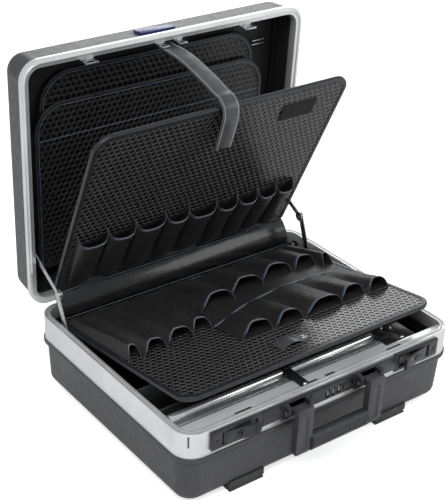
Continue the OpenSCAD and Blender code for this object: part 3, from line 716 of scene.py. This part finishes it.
def binding_tape(name, place, half, first, last, radius, width=8.0, thick=3.2):
    """Folded tape round a board's edge: a soft rounded lip, both faces, closed at its ends."""
    lip, hem, hem_height, swell = 1.6, 0.5, 2.1, 0.25
    outline = board_outline(half, first, last, radius)
    upper = [(-width, hem_height), (-width + hem, thick - 0.2), (-width * 0.6, thick + swell)]
    profile = list(upper)
    for k in range(13):
        angle = math.pi / 2 - math.pi * k / 12
        bulge = max(math.cos(angle), 0) ** 0.7
        profile.append((lip * (bulge - 1), thick * math.sin(angle)))
    profile += [(inward, -off) for inward, off in reversed(upper)]
    verts = [place(x + ox * inward, s + os * inward, off)
             for x, s, ox, os in outline for inward, off in profile]
    return soft_form(name, verts, lofted_faces(len(outline), len(profile)), BINDING)


def tape_stitches(name, place, half, first, last, radius, inward=SEAM_INSET, off=3.5, thread=None):
    outline = board_outline(half, first, last, radius)
    path = [place(x - ox * inward, s - os * inward, off) for x, s, ox, os in outline]
    return stitch_paths(name, [path], thread, pitch=3.2, length=2.2, radius=0.3)


# Pockets of coated cloth

# Each pocket: its two seams and where its mouth meets the board
UPPER_POCKETS = [(-201, -151, 118), (-151, -104, 118), (-104, -52, 118), (-52, -10, 116), (-10, 42, 110),
                 (42, 82, 108), (82, 121, 107), (121, 157, 107), (157, 192, 106)]
REAR_POCKETS = [(-212, -190, 180), (-190, -150, 186), (-150, -102, 181), (-102, -66, 174), (-46, 18, 118),
                (18, 84, 103), (84, 147, 95), (147, 193, 98), (193, 213, 115)]
FRONT_POCKETS = [(-60, -5, 235), (-5, 48, 239), (48, 122, 240), (122, 170, 234), (170, 212, 240)]
# The front row's hem: the line (x, s) where its cloth begins
HEM = [(-63, 174), (-37, 164), (8, 146), (49, 137), (99, 129), (131, 131), (158, 133), (188, 138),
       (204, 150), (211, 166)]
# Steps of a pocket's cloth from seam to seam and from its shut end to its mouth
POCKET_ACROSS, POCKET_DOWN = 28, 12


def hem_line(x):
    for (x0, s0), (x1, s1) in zip(HEM, HEM[1:]):
        if x <= x1:
            return s0 + (s1 - s0) * (x - x0) / (x1 - x0)
    return HEM[-1][1]


def pocket_rows(left, right, mouth, shut, height, drop, lean, tuck):
    """Rows of points (x, s, off) of one open pocket, from its shut end, or from the hem where shut is None,
    to its mouth. It is full and flat-fronted at the mouth, which dips by drop, and drawn in by tuck at the
    shut end. With lean its left side rises slowly and its right side is steep."""
    seam_gap, cloth_gap, hem_height, shut_height = 0.6, 0.3, 2.4, 4.6
    middle, half = (left + right) / 2, (right - left) / 2 - seam_gap
    low = hem_height if shut is None else shut_height
    rows = []
    for j in range(POCKET_DOWN + 1):
        t = j / POCKET_DOWN
        swell = low + (height - low) * (t ** 0.9)
        gather = 1 if shut is None else 1 - tuck * (1 - t ** 0.7)
        line = []
        for i in range(POCKET_ACROSS + 1):
            angle = math.pi * i / POCKET_ACROSS
            side, rise = math.cos(angle), math.sin(angle)
            flat = math.copysign(abs(side) ** 0.8, side)
            start = hem_line(middle - half * flat) if shut is None else shut
            inner = 1 - max(flat, 0)
            slope = inner * inner * (3 - 2 * inner)
            share = lean * (side > 0)
            crown = rise ** (0.7 - 0.25 * lean * (side < 0)) * (1 - share) + slope * share
            s = start + (mouth - drop * crown - start) * t
            slack = 0.5 * math.sin(7.3 * middle + 9 * t + 3 * angle) * t * rise
            line.append((middle - half * flat * gather, s, BOARD_FACE + cloth_gap + (swell + slack) * crown))
        rows.append(line)
    return rows


def arched(count, lift):
    """Lifts along a mouth of count points: nothing at its seams, most in the middle."""
    return [lift * math.sin(math.pi * k / (count - 1)) for k in range(count)]


def pocket_row(name, pockets, place, body, node, shut, height, drop, lean=0.0, tuck=0.14):
    """A row of open pockets, with a rolled edge and two rows of stitches round each mouth."""
    wall, lip, seam_drop = 1.1, 0.95, 3.0
    verts, faces, mouths = [], [], []
    for left, right, mouth in pockets:
        rows = pocket_rows(left, right, mouth, shut, height, drop, lean, tuck)
        faces += sheet_faces(POCKET_DOWN, POCKET_ACROSS, len(verts))
        verts += [place(*point) for row in rows for point in row]
        mouths.append(rows[-1])
    cloth = solidify(mesh_object(name + "_cloth", verts, faces, POCKET), wall)
    shade(cloth, 60)
    edges = [[place(*point) for point in mouth] for mouth in mouths]
    lips = [tube("lip", edge, lip, POCKET, sides=8) for edge in edges]
    settle(join(name, [cloth] + lips), body, "pallet_fabric", node)
    out = place(0, 0, 1) - place(0, 0, 0)
    count = POCKET_ACROSS + 1
    raised = [[point + out * rise for point, rise in zip(edge, arched(count, 0.9))] for edge in edges]
    seams = [[place(x, s - seam_drop, off + rise) for (x, s, off), rise in zip(mouth, arched(count, 0.35))]
             for mouth in mouths]
    trim = [stitch_paths("mouth_edge", raised, pitch=1.5, length=1.5, radius=0.4),
            stitch_paths("mouth_seam", seams, pitch=2.8, length=1.9, radius=0.3)]
    settle(join(name + "_stitches", trim), body, "pallet_fabric")


# The two boards of the wallet

# Where a board's tape and its cells begin, from its hinge line, and how high the cells' web lies
TAPE_START, CELL_START, WEB_HEIGHT = 3, 13, 2.95
# A fabric backing: how high it lies, its thickness, its cloth and how far its rim is eased
BACKING = (2.2, 1.0, POCKET, 0.2)


def make_board(side, place, length, width, radius, pitch, turn, bare):
    """One board: its sheet, the cells where bare(x, s) holds, the tape round it and its hinge fold."""
    body, board, half = "wallet_" + side, side + "_board", width / 2
    dress(board, body, "pallet_fabric", PALLET, edge=0)
    within = rounded_inside(half, CELL_START - 2, length, radius, SEAM_INSET)
    cells = cell_sheet(board + "_cells", place, lambda x, s: within(x, s) and bare(x, s), half - CELL_INSET,
                       (CELL_START, length - CELL_END), pitch, WEB_HEIGHT, (turn, 0, 0))
    settle(cells, body, "pallet_fabric")
    tape = binding_tape(board + "_tape", place, half, TAPE_START, length, radius)
    binding = join(board + "_binding", [tape, hinge_fold(side + "_fold", place)])
    settle(binding, body, "binding_leatherette", side + "_binding")
    seam = tape_stitches(side + "_tape_stitches", place, half, TAPE_START, length, radius, thread=DARK_THREAD)
    settle(seam, body, "binding_leatherette")


def make_upper_board():
    def bare(x, s):
        return s > 95 or abs(x + 4) > 200

    make_board("upper", upper_point, UPPER_L, UPPER_W, 28, 9.591, math.pi / 2 + UPPER_LEAN, bare)
    pocket_row("upper_pocket_row", UPPER_POCKETS, upper_point, "wallet_upper", "upper_pockets",
               shut=9, height=15.5, drop=12, tuck=0.3)
    backing = soft_patch("upper_board_backing", upper_point, (-202, 193), (12, 98), *BACKING)
    settle(backing, "wallet_upper", "pallet_fabric")
    patch = soft_patch("hook_patch_soft", upper_point, (100, 162), (256, 285), 3.0, 1.7, HOOK)
    settle(patch, "wallet_upper", "hook_fabric", "hook_patch")


def make_lower_board():
    split, edge = -62, 213

    def bare(x, s):
        return s > (160 if x < split else 233)

    make_board("lower", lower_point, LOWER_L, LOWER_W, 26, 9.667, -LOWER_RISE, bare)
    pocket_row("rear_pocket_row", REAR_POCKETS, lower_point, "wallet_lower", "lower_rear_pockets",
               shut=9, height=17.5, drop=13, lean=0.8)
    pocket_row("front_pocket_row", FRONT_POCKETS, lower_point, "wallet_lower", "lower_front_pockets",
               shut=None, height=17.5, drop=9, lean=0.8)
    roll = [lower_point(x, s, 3.9) for x, s in [(-61, 236)] + HEM]
    cloth = [soft_patch("lower_board_cloth", lower_point, (split, edge), (12, 236), *BACKING),
             soft_patch("left_backing", lower_point, (-edge, split), (12, 163), *BACKING),
             tube("hem_roll", roll, 1.0, POCKET, sides=8)]
    settle(join("lower_board_backing", cloth), "wallet_lower", "pallet_fabric")
    hem = [lower_point(x, s, 5.0) for x, s in HEM]
    inner = [lower_point(x, s + 2.6, 5.25) for x, s in HEM]
    seams = [stitch_paths("hem_edge", [hem], pitch=1.5, length=1.5, radius=0.32),
             stitch_paths("hem_seam", [inner], pitch=2.8, length=1.9, radius=0.3)]
    settle(join("front_hem_stitches", seams), "wallet_lower", "pallet_fabric")
    make_tab()


def hinge_fold(name, place):
    """The tape's rolled folds along a board's hinge line, each drawn out to meet the tape."""
    spans, radius, drawn_from, count = ((-129.6, -40.4), (40.4, 129.6)), 2.2, 1.2, 16
    verts, faces = [], []
    for span in spans:
        faces += lofted_faces(2, count, len(verts))
        for x in span:
            for k in range(count):
                angle = 2 * math.pi * k / count
                along, off = radius * math.cos(angle), radius * math.sin(angle)
                if along > drawn_from:
                    along = TAPE_START + 0.4
                verts.append(place(x, along, off))
    return soft_form(name, verts, faces, BINDING)


def soft_patch(name, place, span_x, span_s, base, thick, material, eased=0.5):
    """A thin pad on a board with a rounded rim and a slightly wavy top."""
    (x0, x1), (s0, s1) = span_x, span_s
    nx, ns, rim_width, wave = 24, 12, 1.5, 0.15
    verts = []
    for j in range(ns + 1):
        for i in range(nx + 1):
            u, v = i / nx, j / ns
            edges = min(u, 1 - u) * (x1 - x0), min(v, 1 - v) * (s1 - s0)
            fall = sum(max(0, 1 - edge / rim_width) ** 2 for edge in edges) * eased
            top = base + thick - fall + wave * math.sin(9 * u) * math.sin(7 * v)
            verts.append(place(x0 + (x1 - x0) * u, s0 + (s1 - s0) * v, top))
    faces = sheet_faces(ns, nx)
    steps = [(i, 0) for i in range(nx)] + [(nx, j) for j in range(ns)]
    steps += [(i, ns) for i in range(nx, 0, -1)] + [(0, j) for j in range(ns, 0, -1)]
    rim = [j * (nx + 1) + i for i, j in steps]
    under = len(verts)
    verts += [place(x0 + (x1 - x0) * i / nx, s0 + (s1 - s0) * j / ns, base) for i, j in steps]
    for k in range(len(rim)):
        c = (k + 1) % len(rim)
        faces.append((rim[k], rim[c], under + c, under + k))
    faces.append(tuple(range(under + len(rim) - 1, under - 1, -1)))
    return soft_form(name, verts, faces, material)


def make_tab():
    """The wallet's closing tab: a tongue that stands up in a fold, with a ring stud at its end."""
    left, length, half_width, fold_height = -39, 53.5, 12.0, 5.5
    across, down, round_from, fold_end = 10, 36, 0.75, 0.8
    near, middle, lift = LOWER_L - 54, 12.5, 3.6
    verts = []
    for j in range(down + 1):
        t = j / down
        tip = max(0, t - round_from) / (1 - round_from)
        half = half_width * math.sqrt(max(0.0, 1 - tip ** 2))
        fold = fold_height * math.sin(math.pi * min(1, t / fold_end)) ** 2
        for i in range(across + 1):
            v = -1 + 2 * i / across
            rise = fold * (1 - 0.25 * v * v)
            verts.append(lower_point(left + length * t, near + middle + half * v, lift + rise))
    tongue = solidify(mesh_object("tab_tongue", verts, sheet_faces(down, across), STRAP), 1.6)
    fix_normals(tongue)
    shade(tongue, 50)
    settle(tongue, "wallet_lower", "binding_leatherette", "board_tab")
    stud_x, stud_s, ring_radius, ring_steps = 6, near + 15.5, 3.8, 24
    turns = [2 * math.pi * k / ring_steps for k in range(ring_steps)]
    ring = [lower_point(stud_x + ring_radius * math.cos(a), stud_s + ring_radius * math.sin(a), 5.2)
            for a in turns]
    cap = [lower_point(stud_x, stud_s, off) for off in (4, 5.6)]
    stud = [tube("tab_ring", ring, 1.1, STEEL, closed=True), tube("tab_cap", cap, 2.0, STEEL)]
    settle(join("tab_stud", stud), "wallet_lower", "steel_bright")


def make_spine():
    inset, off, half, step = 5.2, 3.1, 210, 14
    dress("spine", "wallet_spine", "binding_leatherette", SPINE, edge=0.5)
    for name, along in (("spine_seam_low", inset), ("spine_seam_high", SPINE_LENGTH - inset)):
        path = [spine_point(x, along, off) for x in range(-half, half + 1, step)]
        seam = stitch_paths(name, [path], pitch=3.2, length=2.3, radius=0.3)
        settle(seam, "wallet_spine", "binding_leatherette")


# The strap's middle line as (y, z): from its anchor in the lid, then its end from the upper board's far edge
STRAP_PATH = [(218, 478.85), (211, 478.85), (207, 477.65), (204, 475.45), (199, 474.35), (186, 474.05),
              (177, 474.05), (168, 473.65), (148, 471.05), (126, 466.05), (105, 460.55), (85, 454.55),
              (68, 448.55)]
STRAP_END = ((8, 7.5), (2, 4), (-3, -1), (-5.6, -8), (-5.8, -16), (-3, -28), (2, -44), (10, -68))
# How far its stitches keep from its sides
STRAP_SEAM = 3.4


def strap_profile(width, thick):
    """Section of the strap (across, off): a low ridge up its middle, stitched grooves and rounded edges."""
    turned, face = 1.2, thick / 2
    edge = []
    for k in range(9):
        angle = math.pi * k / 8
        edge.append((width / 2 - turned + turned * math.sin(angle), face * math.cos(angle)))
    ridge = [(0, face + 0.1), (width / 2 - 4.2, face + 0.15), (width / 2 - STRAP_SEAM, face - 0.1)]
    half = ridge + edge + [(0, -face)]
    return half + [(-across, off) for across, off in reversed(half[1:-1])]


def make_strap():
    """Coated strap from the lid over the upper board's far edge, with a stitch line along each side."""
    width, thick, middle, steps = 29, 2.6, -6, 90
    tip_y = SPINE_TOP_Y - (UPPER_L + 3) * math.sin(UPPER_LEAN)
    tip_z = SPINE_TOP_Z + (UPPER_L + 3) * math.cos(UPPER_LEAN)
    line = smooth_path(STRAP_PATH + [(tip_y + y, tip_z + z) for y, z in STRAP_END], steps)
    profile = strap_profile(width, thick)
    seam_across, seam_off = width / 2 - STRAP_SEAM, thick / 2 + 0.1
    verts, seams = [], [[], []]
    for k, (y, z) in enumerate(line):
        before, after = line[max(k - 1, 0)], line[min(k + 1, steps - 1)]
        size = math.dist(before, after)
        ny, nz = (after[1] - before[1]) / size, (before[0] - after[0]) / size
        if k == 0:
            ny, nz = 0, 1
        verts += [case_point(middle + across, y + ny * off, z + nz * off) for across, off in profile]
        for side, seam in zip((-1, 1), seams):
            seam.append(case_point(middle + side * seam_across, y + ny * seam_off, z + nz * seam_off))
    strap = soft_form("strap_leather", verts, lofted_faces(steps, len(profile)), STRAP)
    settle(strap, "lid", "strap_leatherette", "strap")
    stitches = stitch_paths("strap_stitches", seams, GREY_THREAD, pitch=2.6, length=2.0, radius=0.42)
    settle(stitches, "lid", "strap_leatherette")
    for piece in (strap, stitches):
        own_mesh(piece)


def curve_between(a, b, c, d, t):
    """Catmull-Rom value at the share t of the way from b to c."""
    square, cube = 2 * a - 5 * b + 4 * c - d, 3 * b - a - 3 * c + d
    return 0.5 * (2 * b + (c - a) * t + square * t * t + cube * t ** 3)


def smooth_path(points, count, fine=12):
    """Points spaced evenly along a smooth curve through the given ones."""
    dense = []
    ends = [points[0]] + points + [points[-1]]
    for four in zip(ends, ends[1:], ends[2:], ends[3:]):
        for i in range(fine):
            dense.append(tuple(curve_between(*values, i / fine) for values in zip(*four)))
    dense.append(tuple(points[-1]))
    lengths = [0]
    for a, b in zip(dense, dense[1:]):
        lengths.append(lengths[-1] + math.dist(a, b))
    result = []
    for k in range(count):
        goal = lengths[-1] * k / (count - 1)
        reached = next((i for i, length in enumerate(lengths) if length >= goal), len(dense) - 1)
        j = max(reached, 1)
        t = (goal - lengths[j - 1]) / (lengths[j] - lengths[j - 1])
        result.append(tuple(a + (b - a) * t for a, b in zip(dense[j - 1], dense[j])))
    return result


def document_pocket(name, node, half, top, bottom, radius, height):
    """A pocket of the lid: a cell-pressed sheet with rounded upper corners in a stitched edge tape. With the
    lid shut its sheet lies at this height over the rim."""
    middle = RIM_Z + height + 1

    def place(x, s, off):
        return lid_point(x, -s, middle - off)

    dress(node, "lid", "pallet_fabric", LID_PALLET, edge=0.3)
    inside = rounded_inside(half, -bottom + 3, -top, radius, SEAM_INSET)
    cells = cell_sheet(name + "_cells", place, inside, half - CELL_INSET, (-bottom + 6, -top - CELL_END),
                       9.6, 1.95, (math.pi - LID_ANGLE, 0, 0), LID_PALLET)
    settle(cells, "lid", "pallet_fabric")
    tape = binding_tape(name + "_tape", place, half, -bottom, -top, radius, width=7, thick=2.3)
    settle(tape, "lid", "binding_leatherette")
    seam = tape_stitches(name + "_seam", place, half, -bottom, -top, radius, inward=5.2, off=2.6)
    settle(seam, "lid", "binding_leatherette")
    return place


def make_lid_pockets():
    document_pocket("rear_document_pocket", "document_pocket_rear",
                    half=188, top=-147, bottom=150, radius=50, height=47.2)
    front = document_pocket("front_document_pocket", "document_pocket_front",
                            half=202, top=-106, bottom=156, radius=46, height=38.5)
    hem = [front(x, 52, 2.1) for x in range(-194, 195, 8)]
    settle(stitch_paths("front_document_pocket_hem", [hem]), "lid", "pallet_fabric")


def digit_ring(node, body, x):
    """A number dial with the figures 0 to 9 round it."""
    dress(node, body, "dial_plastic", DIAL, edge=0.2)
    centre, radius = case_point(x, -HALF_D - 0.3, RIM_Z - 17), 0.00622
    parts = []
    for figure in range(10):
        curve = bpy.data.curves.new("figure", "FONT")
        curve.body = str(figure)
        curve.size = 0.0042
        curve.align_x, curve.align_y = "CENTER", "CENTER"
        curve.extrude = 0.00008
        text = make_plain(link_new("figure", curve))
        for vertex in text.data.vertices:
            u, v, w = vertex.co
            turn = math.radians(36 * figure) + v / radius
            reach = radius + w
            vertex.co = centre + Vector((u, -reach * math.cos(turn), reach * math.sin(turn)))
        text.data.materials.clear()
        text.data.materials.append(DIGIT)
        parts.append(text)
    settle(join(node + "_figures", parts), body, "dial_plastic")


def dress_all():
    """Every rigid solid of the drawing with its edges eased and its own finish."""
    for node, slot, material, edge in (
            ("base_shell", "shell_abs", SHELL, 0.8), ("base_frame", "frame_aluminium", FRAME, 0.35),
            ("lock_ledge", "ledge_aluminium", LEDGE, 0.3), ("base_liner", "liner_black", LINER, 0.5),
            ("front_rail", "ledge_aluminium", RAIL, 0.3), ("tray_dividers", "ledge_aluminium", DIVIDER, 0.2),
            ("rail_end_bracket", "black_plastic", BLACK, 0.4), ("rail_clip", "black_plastic", BLACK, 0.4),
            ("tray_rivets", "steel_bright", STEEL, 0.15), ("feet", "foot_rubber", RUBBER, 0.9),
            ("lock_plate", "lock_coating", LOCK, 0.35), ("latch_plate_left", "lock_coating", LOCK, 0.35),
            ("latch_plate_right", "lock_coating", LOCK, 0.35), ("handle_brackets", "lock_coating", LOCK, 0.4),
            ("handle_pins", "steel_satin", ZINC, 0.2), ("base_hinge_leaves", "steel_satin", ZINC, 0.2),
            ("hinge_pins", "steel_satin", ZINC, 0.2), ("stay_base_pins", "steel_bright", STEEL, 0.2),
            ("dial_shaft", "steel_satin", ZINC, 0.0), ("wallet_rod", "steel_satin", ZINC, 0.1)):
        dress(node, "base", slot, material, edge)
    for node, slot, material, edge in (
            ("lid_shell", "shell_abs", SHELL, 0.8), ("lid_frame", "frame_aluminium", FRAME, 0.35),
            ("lid_strikers", "steel_bright", STEEL, 0.3), ("lid_panel", "liner_black", LINER, 0.5),
            ("wire_clip", "steel_bright", STEEL, 0.0), ("badge_plate", "badge_blue", BADGE, 0.5),
            ("strap_anchor", "binding_leatherette", BINDING, 0.3),
            ("lid_hinge_leaves", "steel_satin", ZINC, 0.2), ("stay_lid_pins", "steel_bright", STEEL, 0.2)):
        dress(node, "lid", slot, material, edge)
    dress("handle_arms", "handle", "handle_plastic", HANDLE, 0.8, 3)
    dress("handle_grip", "handle", "grip_plastic", GRIP, 0.6)
    for side in ("left", "right"):
        dress("latch_lever_" + side, "latch_" + side, "lock_coating", LOCK, 0.4)
        dress("key_cylinder_" + side, "key_" + side, "black_plastic", BLACK, 0.2)
        dress("stay_lower_" + side, "link_lower_" + side, "steel_bright", STEEL, 0.2)
        dress("stay_upper_" + side, "link_upper_" + side, "steel_bright", STEEL, 0.2)
    dress("release_button", "button", "lock_coating", LOCK, 0.3)
    dress("spine_rod", "wallet_spine", "steel_satin", ZINC, 0.0)
    for letter, x in (("a", -8), ("b", 2), ("c", 12)):
        digit_ring("dial_" + letter, "dial_" + letter, x)


dress_all()
make_upper_board()
make_lower_board()
make_spine()
make_strap()
make_lid_pockets()
